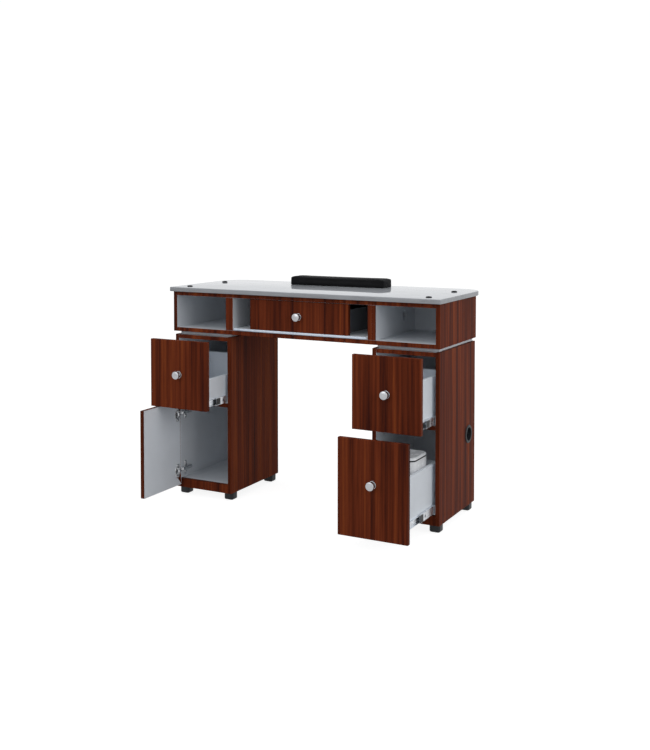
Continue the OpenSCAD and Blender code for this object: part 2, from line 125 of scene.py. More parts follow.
class WorktopSettings(bpy.types.PropertyGroup):
    front_corner: FloatProperty(
        name="Front corner", description="Radius of the corners beside the technician",
        default=0.006, min=0.003, max=0.05, unit="LENGTH")
    back_corner: FloatProperty(
        name="Back corner", description="Radius of the corners beside the customer",
        default=0.085, min=0.003, max=0.12, unit="LENGTH")
    top_arris: FloatProperty(
        name="Upper edge", description="Rounding of the worktop's upper edge",
        default=0.0022, min=0.0005, max=0.005, unit="LENGTH")
    low_arris: FloatProperty(
        name="Lower edge", description="Rounding of the worktop's lower edge",
        default=0.0018, min=0.0005, max=0.005, unit="LENGTH")


class ArmrestSettings(bpy.types.PropertyGroup):
    corner: FloatProperty(
        name="Corner", description="Radius of the pad's upright corners",
        default=0.009, min=0.004, max=0.03, unit="LENGTH")
    top_round: FloatProperty(
        name="Top edge", description="Rounding of the pad's upper edge before it is filled",
        default=0.003, min=0.001, max=0.01, unit="LENGTH")
    shrink: FloatProperty(
        name="Room to swell", description="How far the empty cover stands inside the filled pad",
        default=0.0015, min=0, max=0.006, unit="LENGTH")
    voxel: FloatProperty(
        name="Remesh size", description="Size of the cover's facets before it is filled",
        default=0.003, min=0.002, max=0.01, unit="LENGTH")
    pressure: FloatProperty(
        name="Filling pressure", description="Pressure of the foam on the cover", default=4, min=0, max=20)
    swell: FloatProperty(
        name="Largest swell", description="How far a point of the cover may move",
        default=0.0025, min=0, max=0.01, unit="LENGTH")


class KnobSettings(bpy.types.PropertyGroup):
    rose_share: FloatProperty(
        name="Rose", description="Radius of the knob's rose as a share of its head",
        default=0.94, min=0.4, max=1, subtype="FACTOR")
    neck_share: FloatProperty(
        name="Neck", description="Radius of the knob's neck as a share of its head",
        default=0.45, min=0.2, max=0.8, subtype="FACTOR")
    steps: IntProperty(name="Steps", description="Facets round a knob", default=64, min=16, max=128)


class MouldSettings(bpy.types.PropertyGroup):
    foot_width: FloatProperty(
        name="Foot", description="Width of a foot", default=0.038, min=0.02, max=0.06, unit="LENGTH")
    foot_corner: FloatProperty(
        name="Foot corner", description="Radius of a foot's upright corners",
        default=0.009, min=0.002, max=0.015, unit="LENGTH")
    port_flange: FloatProperty(
        name="Port flange", description="Width of the hose port's flange round its opening",
        default=0.0085, min=0.006, max=0.012, unit="LENGTH")
    bin_corner: FloatProperty(
        name="Bin corner", description="Radius of the bin's upright corners",
        default=0.024, min=0.01, max=0.04, unit="LENGTH")
    bin_wall: FloatProperty(
        name="Bin wall", description="Thickness of the bin's wall", default=0.0025, min=0.001, max=0.005,
        unit="LENGTH")


class StudioSettings(bpy.types.PropertyGroup):
    camera_place: FloatVectorProperty(
        name="Camera", description="Where the camera stands",
        default=(1.7628, -3.2078, 1.0928), subtype="TRANSLATION", unit="LENGTH")
    heading: FloatProperty(
        name="Heading", description="How far the camera is turned to the left",
        default=math.radians(27.844), subtype="ANGLE")
    tilt: FloatProperty(
        name="Tilt", description="How far the camera looks down",
        default=math.radians(2.161), subtype="ANGLE")
    lens: FloatProperty(
        name="Lens", description="Focal length in millimetres", default=49.85, min=10, max=200)
    rise: FloatProperty(
        name="Shift", description="The lens's upright shift", default=-0.18, min=-0.5, max=0.5)
    daylight: FloatProperty(
        name="Room light", description="Strength of the light from all round",
        default=0.48, min=0, max=5)
    gloss: FloatProperty(
        name="Room gloss", description="Strength of the room in reflections", default=0.9, min=0, max=5)
    floor_gloss: FloatProperty(
        name="Floor gloss", description="Strength of the floor in reflections", default=0.55, min=0, max=5)
    floor_glow: FloatProperty(
        name="Floor glow", description="How pale the floor is before the lamps light it",
        default=0.88, min=0, max=2)
    floor_size: FloatProperty(
        name="Floor", description="Width of the studio floor", default=40, min=2, max=100, unit="LENGTH")


# ---------- Shapes ----------


def corners(node):
    """The lowest and highest corner of a CAD node, as arrays."""
    low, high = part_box(node)
    return np.array(low), np.array(high)


def arc(centre, radius, start, end, steps):
    """Points on a circle: centre + radius * (cos a, sin a), with a from start to end in degrees."""
    angle = np.radians(np.linspace(start, end, steps))
    return np.array(centre) + radius * np.stack([np.cos(angle), np.sin(angle)], 1)


def ring_faces(rows, columns, closed=False):
    """Quads between neighbouring rows of points, where each row closes on itself."""
    row = np.arange(rows if closed else rows - 1)[:, None]
    column = np.arange(columns)[None, :]
    low, high = row * columns, (row + 1) % rows * columns
    after = (column + 1) % columns
    return np.stack([low + column, low + after, high + after, high + column], 2).reshape(-1, 4).tolist()


def prism(low, high, radii, profile, steps=10):
    """A rounded rectangle carried up a profile.

    The outline runs round four corner arcs. Each (inset, height) of the profile draws it once, with every
    point at corner centre + (radius - inset) * direction, and flat faces close the first and last outline.
    radii holds the corners' radii in the order low-low, high-low, high-high, low-high.
    """
    radii = np.broadcast_to(np.asarray(radii, float), 4)
    signs = np.array([[-1, -1], [1, -1], [1, 1], [-1, 1]])
    edges = np.where(signs < 0, np.asarray(low, float), np.asarray(high, float))
    centres = np.repeat(edges - signs * radii[:, None], steps, 0)
    angle = np.radians(np.linspace(0, 90, steps)[None, :] + np.array([180, 270, 0, 90])[:, None]).ravel()
    direction = np.stack([np.cos(angle), np.sin(angle)], 1)
    profile = np.asarray(profile, float)
    reach = np.repeat(radii, steps)[None, :] - profile[:, :1]
    flat = centres[None] + reach[:, :, None] * direction[None]
    height = np.broadcast_to(profile[:, 1][:, None, None], flat.shape[:2] + (1,))
    points = np.concatenate([flat, height], 2).reshape(-1, 3)
    columns = len(centres)
    last = (len(profile) - 1) * columns
    faces = ring_faces(len(profile), columns)
    faces.append(list(range(columns))[::-1])
    faces.append(list(range(last, last + columns)))
    return points, faces


def lathe(profile, steps=48, closed=False):
    """A profile of (radius, height) turned about Z: (radius * cos a, radius * sin a, height)."""
    profile = np.asarray(profile, float)
    angle = np.linspace(0, 2 * math.pi, steps, endpoint=False)
    radius, height = profile[:, :1], profile[:, 1:]
    points = np.stack([radius * np.cos(angle), radius * np.sin(angle), height + 0 * angle], 2)
    return points.reshape(-1, 3), ring_faces(len(profile), steps, closed)


def strip(path, width, thickness):
    """A flat strip along a path in the XY plane: path + half thickness * side, and half width along Z."""
    path = np.asarray(path, float)
    ahead = np.gradient(path, axis=0)
    ahead /= np.linalg.norm(ahead, axis=1, keepdims=True)
    side = np.stack([ahead[:, 1], -ahead[:, 0]], 1)
    across = np.array([-0.5, 0.5, 0.5, -0.5]) * thickness
    up = np.array([-0.5, -0.5, 0.5, 0.5]) * width
    flat = path[:, None] + side[:, None] * across[None, :, None]
    height = np.broadcast_to(up[None, :, None], flat.shape[:2] + (1,))
    points = np.concatenate([flat, height], 2).reshape(-1, 3)
    last = 4 * (len(path) - 1)
    return points, ring_faces(len(path), 4) + [[3, 2, 1, 0], [last, last + 1, last + 2, last + 3]]


def placed(shape, origin, along_x=RIGHT, along_y=BACK, along_z=UP):
    """The shape with its own X, Y and Z laid along three directions, moved to the origin given."""
    points, faces = shape
    turn = np.array([along_x, along_y, along_z], float)
    return points @ turn + np.array(origin, float), faces


def joined(shapes):
    """Several shapes as one, with each one's faces counted on from the points before it."""
    counts = np.cumsum([0] + [len(points) for points, _ in shapes])
    faces = [[corner + start for corner in face]
        for start, (_, part) in zip(counts, shapes) for face in part]
    return np.concatenate([points for points, _ in shapes]), faces


def make_piece(name, shape, body, finish, stands_for=()):
    """Makes a piece's mesh, closes its seams, turns its faces outwards and gives it its finish.

    A body of None leaves the piece without a body.
    """
    points, faces = shape
    mesh = bpy.data.meshes.new(name)
    mesh.from_pydata(points.tolist(), [], faces)
    work = bmesh.new()
    work.from_mesh(mesh)
    bmesh.ops.remove_doubles(work, verts=work.verts, dist=1e-6)
    bmesh.ops.recalc_face_normals(work, faces=work.faces)
    work.to_mesh(mesh)
    work.free()
    mesh.shade_smooth()
    mesh.set_sharp_from_angle(angle=math.radians(38))
    mesh.materials.append(finish)
    piece = bpy.data.objects.new(name, mesh)
    bpy.context.scene.collection.objects.link(piece)
    if body:
        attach(piece, body)
    if stands_for:
        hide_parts(*stands_for)
    return piece


def round_edges(piece, width, steps, weld=False):
    """Softens a piece's sharp edges, after its loose triangles are joined where weld is set."""
    if weld:
        piece.modifiers.new("Join", "WELD").merge_threshold = 1e-5
    bevel = piece.modifiers.new("Edge", "BEVEL")
    bevel.width = width
    bevel.segments = steps
    bevel.limit_method = "ANGLE"
    bevel.angle_limit = math.radians(40)


# ---------- Finishes ----------


def new_material(name, colour=None, metallic=0.0, roughness=0.5, specular=0.5):
    """An empty material, its node tree and its shader."""
    material = bpy.data.materials.new(name)
    material.use_nodes = True
    tree = material.node_tree
    shader = tree.nodes["Principled BSDF"]
    shader.inputs["Metallic"].default_value = metallic
    shader.inputs["Roughness"].default_value = roughness
    shader.inputs["Specular IOR Level"].default_value = specular
    if colour is not None:
        shader.inputs["Base Color"].default_value = (*colour, 1)
    return material, tree, shader


def pattern(tree, scale, detail=3.0, rough=0.5, kind="ShaderNodeTexNoise"):
    """Noise on Object coordinates, with its own number of repeats per metre along X, Y and Z."""
    place = tree.nodes.new("ShaderNodeTexCoord")
    stretch = tree.nodes.new("ShaderNodeMapping")
    stretch.inputs["Scale"].default_value = scale
    noise = tree.nodes.new(kind)
    noise.inputs["Scale"].default_value = 1
    tree.links.new(place.outputs["Object"], stretch.inputs["Vector"])
    tree.links.new(stretch.outputs["Vector"], noise.inputs["Vector"])
    if kind == "ShaderNodeTexNoise":
        noise.inputs["Detail"].default_value = detail
        noise.inputs["Roughness"].default_value = rough
        return noise.outputs["Fac"]
    return noise.outputs["Distance"]


def weighted(tree, parts):
    """The sum of several patterns, each times its weight."""
    total = None
    for value, weight in parts:
        step = tree.nodes.new("ShaderNodeMath")
        step.operation = "MULTIPLY_ADD"
        step.inputs[1].default_value = weight
        step.inputs[2].default_value = 0
        tree.links.new(value, step.inputs[0])
        if total is not None:
            tree.links.new(total, step.inputs[2])
        total = step.outputs[0]
    return total


def tint(tree, shader, value, stops):
    """Colours the surface by a pattern: stops are (value, colour)."""
    node = tree.nodes.new("ShaderNodeValToRGB")
    elements = node.color_ramp.elements
    while len(elements) < len(stops):
        elements.new(0.5)
    for element, (place, colour) in zip(elements, stops):
        element.position = place
        element.color = (*colour, 1)
    tree.links.new(value, node.inputs["Fac"])
    tree.links.new(node.outputs["Color"], shader.inputs["Base Color"])


def two_tone(tree, shader, value, colour, low, high):
    """Colours the surface by one colour, made darker and lighter by a pattern."""
    tint(tree, shader, value, [(0.35, shaded(colour, low)), (0.65, shaded(colour, high))])


def dull(tree, shader, value, low, high):
    """Spreads the surface's roughness from low to high over the middle range of a pattern."""
    node = tree.nodes.new("ShaderNodeMapRange")
    node.inputs["From Min"].default_value = 0.3
    node.inputs["From Max"].default_value = 0.7
    node.inputs["To Min"].default_value = low
    node.inputs["To Max"].default_value = high
    tree.links.new(value, node.inputs["Value"])
    tree.links.new(node.outputs["Result"], shader.inputs["Roughness"])


def bump(tree, shader, height, distance, strength=1.0):
    """Raises the surface by a pattern, distance metres from its lowest to its highest value."""
    node = tree.nodes.new("ShaderNodeBump")
    node.inputs["Distance"].default_value = distance
    node.inputs["Strength"].default_value = strength
    tree.links.new(height, node.inputs["Height"])
    tree.links.new(node.outputs["Normal"], shader.inputs["Normal"])


def shaded(colour, factor):
    """A colour made lighter or darker."""
    return tuple(min(1.0, part * factor) for part in colour)


def wood_look(name, factor):
    """Printed wood film with upright streaks of three widths, its pores pressed in, under a satin coat."""
    finish = bpy.context.scene.table_finish
    material, tree, shader = new_material(name, specular=0.03)
    rate = 1 / finish.streak_width
    broad = pattern(tree, (0.8 * rate, 0.8 * rate, 0.9), 2, 0.45)
    middle = pattern(tree, (2.8 * rate, 2.8 * rate, 1.6), 3, 0.6)
    pores = pattern(tree, (26 * rate, 26 * rate, 12), 2, 0.6)
    mixed = weighted(tree, [(broad, 0.42), (middle, 0.40), (pores, 0.18)])
    tint(tree, shader, mixed, [
        (0.39, shaded(finish.wood_dark, factor)), (0.47, shaded(finish.wood_middle, 0.8 * factor)),
        (0.53, shaded(finish.wood_middle, 1.15 * factor)), (0.61, shaded(finish.wood_light, factor))])
    dull(tree, shader, pores, 0.40, 0.54)
    bump(tree, shader, pores, 0.00012, 0.5)
    return material


def sheet_look(name, colour):
    """Melamine film: an even colour with faint clouds and a fine pressed texture."""
    material, tree, shader = new_material(name, specular=0.3)
    clouds = pattern(tree, (9, 9, 9), 3)
    grain = pattern(tree, (900, 900, 900), 2)
    mixed = weighted(tree, [(clouds, 0.7), (grain, 0.3)])
    two_tone(tree, shader, mixed, colour, 0.95, 1.03)
    dull(tree, shader, grain, 0.42, 0.54)
    bump(tree, shader, grain, 0.00006, 0.5)
    return material


def stone_look(name, factor):
    """Polished solid worktop: a pale ground with clouds, thin drifts and fine dark and light grains."""
    # A factor below 1 gives the painted shade laid on the worktop's edges.
    colour = shaded(bpy.context.scene.table_finish.stone, factor)
    material, tree, shader = new_material(name)
    clouds = pattern(tree, (6, 10, 10), 4, 0.6)
    drift = pattern(tree, (14, 60, 160), 4, 0.65)
    grain = pattern(tree, (700, 700, 700), 1)
    mixed = weighted(tree, [(clouds, 0.3), (drift, 0.4), (grain, 0.3)])
    tint(tree, shader, mixed, [
        (0.36, shaded(colour, 0.66)), (0.46, shaded(colour, 0.92)),
        (0.55, colour), (0.68, shaded(colour, 1.15))])
    dull(tree, shader, drift, 0.01, 0.03)
    return material


def vinyl_look(name):
    """Black upholstery vinyl: pebbled grain over soft folds."""
    colour = bpy.context.scene.table_finish.vinyl
    material, tree, shader = new_material(name, specular=0.06)
    pebble = pattern(tree, (620, 620, 620), kind="ShaderNodeTexVoronoi")
    folds = pattern(tree, (24, 40, 40), 3)
    two_tone(tree, shader, folds, colour, 0.8, 1.3)
    dull(tree, shader, folds, 0.50, 0.64)
    bump(tree, shader, weighted(tree, [(pebble, 0.6), (folds, 0.8)]), 0.0003, 0.5)
    return material


def plywood_look(name):
    """Plywood: long pale grain over thin plies."""
    material, tree, shader = new_material(name, roughness=0.6)
    grain = pattern(tree, (14, 260, 700), 3, 0.6)
    tint(tree, shader, grain, [(0.35, (0.36, 0.23, 0.12)), (0.65, (0.60, 0.44, 0.27))])
    bump(tree, shader, grain, 0.0001, 0.4)
    return material


def plastic_look(name, colour, rough, texture, specular=0.35):
    """Moulded plastic or rubber: one colour, a fine spark texture and slight changes of gloss."""
    material, tree, shader = new_material(name, specular=specular)
    spark = pattern(tree, (1500, 1500, 1500), 2)
    handling = pattern(tree, (30, 30, 30), 3)
    two_tone(tree, shader, handling, colour, 0.97, 1.03)
    dull(tree, shader, handling, rough - 0.03, rough + 0.04)
    bump(tree, shader, spark, texture, 0.5)
    return material


def metal_look(name, colour, rough, brush, metallic=1.0):
    """Plated or brushed metal: fine marks along the brushed direction, in its colour and its gloss."""
    material, tree, shader = new_material(name, metallic=metallic)
    marks = pattern(tree, brush, 3, 0.6)
    stains = pattern(tree, (55, 55, 55), 2)
    mixed = weighted(tree, [(marks, 0.6), (stains, 0.4)])
    two_tone(tree, shader, mixed, colour, 0.84, 1.08)
    dull(tree, shader, mixed, rough * 0.75, rough * 1.3)
    bump(tree, shader, marks, 0.00003, 0.3)
    return material


def look(name):
    """The finish of that name, made the first time it is asked for."""
    made = bpy.data.materials.get(name)
    if made:
        return made
    finish = bpy.context.scene.table_finish
    makers = {
        "mahogany_face": lambda: wood_look(name, 1.0),
        "mahogany_edge": lambda: wood_look(name, 0.8),
        "cabinet_lining": lambda: sheet_look(name, finish.melamine),
        "drawer_sheet": lambda: sheet_look(name, finish.drawer_sheet),
        # Painted shade: a dark sheet for the middle drawer's walls, which lie in shade.
        "painted_shade_sheet": lambda: sheet_look(name, finish.painted_shade_sheet),
        "polished_worktop": lambda: stone_look(name, 1.0),
        # Painted shade: the worktop's edges take this copy at two thirds the lightness, for edges that face
        # away from the lamps.
        "worktop_edge_painted_shade": lambda: stone_look(name, 0.66),
        "pebbled_vinyl": lambda: vinyl_look(name),
        "plain_plywood": lambda: plywood_look(name),
        "moulded_black": lambda: plastic_look(name, (0.015, 0.016, 0.018), 0.38, 0.00005),
        "soft_rubber": lambda: plastic_look(name, (0.006, 0.006, 0.007), 0.55, 0.0001, 0.1),
        "glossy_white": lambda: plastic_look(name, (0.92, 0.93, 0.945), 0.26, 0.000004),
        "satin_plating": lambda: metal_look(name, (0.54, 0.55, 0.57), 0.22, (900, 900, 900)),
        "brushed_aluminium": lambda: metal_look(name, (0.72, 0.80, 0.92), 0.30, (20, 900, 900), 0.45),
        "zinc_plating": lambda: metal_look(name, (0.80, 0.83, 0.87), 0.28, (900, 30, 900)),
        "nickel_plating": lambda: metal_look(name, (0.70, 0.71, 0.72), 0.22, (700, 700, 700)),
    }
    return makers[name]()


# ---------- Boards and other CAD pieces ----------


def cad_mesh(node):
    """A CAD node's own mesh."""
    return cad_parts[node].data


def coat_faces(mesh, base, facing=None):
    """Lays a base finish on a mesh, and others on the wide faces that look along given directions."""
    facing = facing or {}
    mesh.materials.clear()
    for name in [base, *facing.values()]:
        mesh.materials.append(look(name))
    normals = np.empty(3 * len(mesh.polygons))
    mesh.polygons.foreach_get("normal", normals)
    normals = normals.reshape(-1, 3)
    areas = np.empty(len(mesh.polygons))
    mesh.polygons.foreach_get("area", areas)
    chosen = np.zeros(len(normals), np.int32)
    for index, direction in enumerate(facing, 1):
        chosen[(normals @ np.array(direction, float) > 0.95) & (areas > LEAST_FACE)] = index
    mesh.polygons.foreach_set("material_index", chosen)
    mesh.update()


DRAWERS = ("upper_left", "upper_right", "lower_right")
WOOD, LINING, SHEET, SHADE_SHEET = "mahogany_face", "cabinet_lining", "drawer_sheet", "painted_shade_sheet"
BOARD_FACES = {
    "apron_left_side": {LEFT: WOOD, RIGHT: LINING},
    "apron_right_side": {RIGHT: WOOD, LEFT: LINING},
    "apron_bottom_board": {FRONT: WOOD, UP: LINING, DOWN: WOOD},
    "apron_top_board": {FRONT: WOOD, DOWN: LINING, UP: LINING},
    "apron_back_panel": {BACK: WOOD, FRONT: LINING},
    "cubby_inner_walls": {FRONT: WOOD, LEFT: LINING, RIGHT: LINING},
    "centre_bay_walls": {FRONT: WOOD, LEFT: LINING, RIGHT: LINING},
    "left_pedestal_outer_side": {LEFT: WOOD, RIGHT: LINING},
    "left_pedestal_inner_side": {RIGHT: WOOD, LEFT: LINING},
    "right_pedestal_outer_side": {RIGHT: WOOD, LEFT: LINING},
    "right_pedestal_inner_side": {LEFT: WOOD, RIGHT: LINING},
    "pedestal_top_boards": {FRONT: WOOD, UP: LINING, DOWN: LINING},
    "pedestal_middle_shelves": {UP: LINING, DOWN: LINING},
    "pedestal_back_panels": {BACK: WOOD, FRONT: LINING},
    "pedestal_front_rails": {FRONT: WOOD, BACK: LINING},
    # Painted shade: the back of the middle drawer front takes the dark sheet.
    "centre_drawer_front": {FRONT: WOOD, BACK: SHADE_SHEET},
    **{f"{drawer}_drawer_front": {FRONT: WOOD, BACK: SHEET} for drawer in DRAWERS},
    "left_door_panel": {LEFT: WOOD, RIGHT: SHEET},
}
BORED_WALLS = ("cubby_inner_walls", "centre_bay_walls")
PLAIN_BOARDS = {
    # Painted light: the spacers take the paler drawer sheet, not the cabinet lining, to make up for light
    # lost in their recess under the apron.
    "pedestal_spacers": SHEET,
    "pedestal_bottom_boards": LINING,
    "centre_tray": LINING,
    # Painted shade: the middle drawer's walls take the dark sheet.
    "centre_drawer_walls": SHADE_SHEET,
    "armrest_board": "plain_plywood",
    **{f"{drawer}_drawer_walls": SHEET for drawer in DRAWERS},
    **{f"{drawer}_drawer_bottom": SHEET for drawer in DRAWERS},
}
METAL_PIECES = {
    "centre_tray_runners": "zinc_plating",
    "cabinet_slide_channels": "zinc_plating",
    **{f"{drawer}_middle_slides": "zinc_plating" for drawer in DRAWERS},
    **{f"{drawer}_drawer_slides": "zinc_plating" for drawer in DRAWERS},
    **{f"{drawer}_slide_retainers": "moulded_black" for drawer in DRAWERS},
}


class TABLE_OT_boards(bpy.types.Operator):
    """Veneer the cabinet, the drawer fronts and the door, and line their inner faces"""

    bl_idname = "nail_table.boards"
    bl_label = "Boards"

    def execute(self, context):
        sizes = context.scene.table_boards
        for node, facing in BOARD_FACES.items():
            base = LINING if node in BORED_WALLS else "mahogany_edge"
            coat_faces(cad_mesh(node), base, facing)
        for node, base in PLAIN_BOARDS.items():
            coat_faces(cad_mesh(node), base)
        for node in [*BOARD_FACES, *PLAIN_BOARDS]:
            round_edges(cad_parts[node], sizes.board_edge, sizes.edge_steps, weld=True)
        return {"FINISHED"}


class TABLE_OT_slides(bpy.types.Operator):
    """Plate the drawer slides, and drive their screws"""

    bl_idname = "nail_table.slides"
    bl_label = "Drawer slides"

    def execute(self, context):
        sizes = context.scene.table_boards
        for node, base in METAL_PIECES.items():
            coat_faces(cad_mesh(node), base)
            round_edges(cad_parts[node], sizes.metal_edge, 1, weld=True)
        for drawer in DRAWERS:
            self.drawer_screws(drawer)
        self.cabinet_screws()
        return {"FINISHED"}

    def drawer_screws(self, drawer):
        """Heads against the web of each drawer member, at three of its holes."""
        low, high = corners(f"{drawer}_drawer_slides")
        wall_low, wall_high = corners(f"{drawer}_drawer_walls")
        middle = (low[2] + high[2]) / 2
        right, left = wall_high[0] + SHEET_WEB, wall_low[0] - SHEET_WEB
        heads = []
        for place in DRAWER_SCREWS:
            heads.append(placed(screw_head(), (right, low[1] + place, middle), BACK, UP, RIGHT))
            heads.append(placed(screw_head(), (left, low[1] + place, middle), UP, BACK, LEFT))
        make_piece(f"{drawer}_slide_screws", joined(heads), f"{drawer}_drawer",
            look("zinc_plating"))

    def cabinet_screws(self):
        """Heads against the web of each cabinet channel, in line with its first and last holes."""
        heads = []
        low = corners("cabinet_slide_channels")[0]
        for drawer in DRAWERS:
            slide_low, slide_high = corners(f"{drawer}_drawer_slides")
            wall_low, wall_high = corners(f"{drawer}_drawer_walls")
            middle = (slide_low[2] + slide_high[2]) / 2
            right, left = wall_high[0] + CHANNEL_WEB, wall_low[0] - CHANNEL_WEB
            for place in CABINET_SCREWS:
                y = low[1] + place
                heads.append(placed(screw_head(1.5 * MM), (right, y, middle), UP, BACK, LEFT))
                heads.append(placed(screw_head(1.5 * MM), (left, y, middle), BACK, UP, RIGHT))
        make_piece("cabinet_slide_screws", joined(heads), "cabinet", look("zinc_plating"))


def screw_head(height=1.8 * MM, radius=3.6 * MM):
    """A pan head with a dished drive: a disc whose edge is a quarter ellipse and whose middle dips."""
    angle = np.radians(np.linspace(0, 70, 6))
    rim = np.stack([radius * np.cos(angle), height * np.sin(angle)], 1)
    dish = [(radius * 0.32, height), (radius * 0.22, height * 0.45), (0, height * 0.35)]
    return lathe(np.concatenate([[(0, 0)], rim, dish]), 16)


# ---------- Worktop and its fittings ----------


class TABLE_OT_worktop(bpy.types.Operator):
    """Lay the polished worktop with its rounded corners and eased edges"""

    bl_idname = "nail_table.worktop"
    bl_label = "Worktop"

    def execute(self, context):
        sizes = context.scene.table_worktop
        low, high = corners("worktop")
        top, under = sizes.top_arris, sizes.low_arris
        lower = arc((under, under), under, 270, 180, 5)
        upper = arc((top, high[2] - low[2] - top), top, 180, 90, 6)
        profile = np.concatenate([lower, upper])
        profile[:, 1] += low[2]
        front, back = sizes.front_corner, sizes.back_corner
        slab = prism(low[:2], high[:2], (front, front, back, back), profile, 20)
        face = look("polished_worktop")
        piece = make_piece("worktop_slab", slab, "cabinet", face, ["worktop"])
        # Painted shade: the edges get the darker copy of the worktop finish, the top and the underside the
        # plain one.
        coat_faces(piece.data, "worktop_edge_painted_shade", {UP: face.name, DOWN: face.name})
        return {"FINISHED"}


class TABLE_OT_pads(bpy.types.Operator):
    """Stick the four round rubber pads on the worktop"""

    bl_idname = "nail_table.pads"
    bl_label = "Rubber pads"

    def execute(self, context):
        low, high = corners("worktop_pads")
        height = high[2] - low[2]
        radius, dome, rim = PAD_RADIUS, 1.2 * MM, 1.5 * MM
        edge = arc((radius - rim, height - dome - rim), rim, 0, 70, 5)
        crown = np.linspace(edge[-1, 0], 0, 7)[1:]
        crest = edge[-1, 1] + (height - edge[-1, 1]) * (1 - (crown / edge[-1, 0]) ** 2)
        outline = np.concatenate([[(0, 0), (radius, 0)], edge, np.stack([crown, crest], 1)])
        pads = [placed(lathe(outline, 40), (x, y, low[2]))
            for x in (low[0] + radius, high[0] - radius) for y in (low[1] + radius, high[1] - radius)]
        make_piece("rubber_pads", joined(pads), "cabinet", look("soft_rubber"),
            ["worktop_pads"])
        return {"FINISHED"}


class TABLE_OT_armrest(bpy.types.Operator):
    """Upholster the arm rest: a vinyl cover filled until it swells, flat where it lies on the worktop"""

    bl_idname = "nail_table.armrest"
    bl_label = "Arm rest"

    def execute(self, context):
        sizes = context.scene.table_armrest
        low, high = corners("armrest_cushion")
        inset, rounding, base = sizes.shrink, sizes.top_round, 0.5 * MM
        floor, top = low[2], high[2] - sizes.shrink
        lower = arc((inset + base, floor + base), base, 270, 180, 3)
        upper = arc((inset + rounding, top - rounding), rounding, 180, 90, 6)
        shape = prism(low[:2], high[:2], sizes.corner, np.concatenate([lower, upper]), 8)
        pad = make_piece("armrest_pad", shape, "cabinet", look("pebbled_vinyl"),
            ["armrest_cushion"])
        remesh = pad.modifiers.new("Facets", "REMESH")
        remesh.mode = "VOXEL"
        remesh.voxel_size = sizes.voxel
        remesh.use_smooth_shade = True
        apply_modifiers(pad)
        self.fill(pad, sizes, floor)
        smooth = pad.modifiers.new("Smooth", "SUBSURF")
        smooth.levels = 1
        smooth.render_levels = 1
        return {"FINISHED"}

    def fill(self, pad, sizes, floor):
        """Swells the cover by cloth under pressure, then limits how far each point has moved."""
        empty = read_points(pad.data)
        held = np.nonzero(empty[:, 2] < floor + 0.6 * sizes.voxel)[0]
        group = pad.vertex_groups.new(name="base")
        group.add(held.tolist(), 1.0, "REPLACE")
        cloth = pad.modifiers.new("Filling", "CLOTH")
        cloth.settings.use_pressure = True
        cloth.settings.uniform_pressure_force = sizes.pressure
        cloth.settings.vertex_group_mass = "base"
        cloth.settings.effector_weights.gravity = 0
        for step in range(1, FILL_FRAMES + 1):
            bpy.context.scene.frame_set(step)
        apply_modifiers(pad)
        moved = read_points(pad.data) - empty
        length = np.linalg.norm(moved, axis=1, keepdims=True)
        moved *= np.minimum(1, sizes.swell / np.maximum(length, 1e-9))
        filled = empty + moved
        filled[:, 2] = np.maximum(filled[:, 2], floor)
        filled[held, 2] = floor
        pad.data.vertices.foreach_set("co", filled.ravel())
        pad.data.update()
        bpy.context.scene.frame_set(1)


def read_points(mesh):
    """A mesh's points as an array."""
    points = np.empty(3 * len(mesh.vertices))
    mesh.vertices.foreach_get("co", points)
    return points.reshape(-1, 3)


def apply_modifiers(piece):
    """Replaces a piece's mesh by what its modifiers make of it."""
    graph = bpy.context.evaluated_depsgraph_get()
    graph.update()
    mesh = bpy.data.meshes.new_from_object(piece.evaluated_get(graph))
    piece.modifiers.clear()
    piece.data = mesh
    mesh.shade_smooth()


# ---------- Turned and moulded pieces ----------


def knob_profile(radius, height, sizes):
    """A rose, a neck and a flat head with a bevelled rim and a face that swells a little."""
    rose, neck = radius * sizes.rose_share, radius * sizes.neck_share
    rose_edge = arc((rose - 1.2 * MM, 0.8 * MM), 1.2 * MM, 0, 90, 5)
    throat = arc((neck + 2 * MM, 4.0 * MM), 2 * MM, 270, 180, 5)
    head_low = height * 0.56
    under = arc((radius - 1.5 * MM, head_low + 1.5 * MM), 1.5 * MM, 270, 360, 5)
    rim = arc((radius - 1.8 * MM, height - 3.2 * MM), 1.8 * MM, 0, 70, 6)
    face = np.linspace(rim[-1, 0], 0, 8)[1:]
    swell = rim[-1, 1] + (height - rim[-1, 1]) * (1 - (face / rim[-1, 0]) ** 2)
    return np.concatenate([[(0, 0), (rose, 0)], rose_edge, throat, [(neck, head_low - 1 * MM)],
        under, rim, np.stack([face, swell], 1)])


class TABLE_OT_knobs(bpy.types.Operator):
    """Turn the five plated knobs"""

    bl_idname = "nail_table.knobs"
    bl_label = "Knobs"

    def execute(self, context):
        sizes = context.scene.table_knobs
        for place in ("centre_drawer", "left_door", *(f"{drawer}_drawer" for drawer in DRAWERS)):
            low, high = corners(f"{place}_knob")
            middle = (low + high) / 2
            radius = (high[2] - low[2]) / 2
            if place == "left_door":
                seat, ahead, side = (high[0], middle[1], middle[2]), LEFT, FRONT
                height = high[0] - low[0]
            else:
                seat, ahead, side = (middle[0], high[1], middle[2]), FRONT, RIGHT
                height = high[1] - low[1]
            turned = lathe(knob_profile(radius, height, sizes), sizes.steps)
            make_piece(f"{place}_turned_knob", placed(turned, seat, side, UP, ahead), place,
                look("satin_plating"), [f"{place}_knob"])
        return {"FINISHED"}


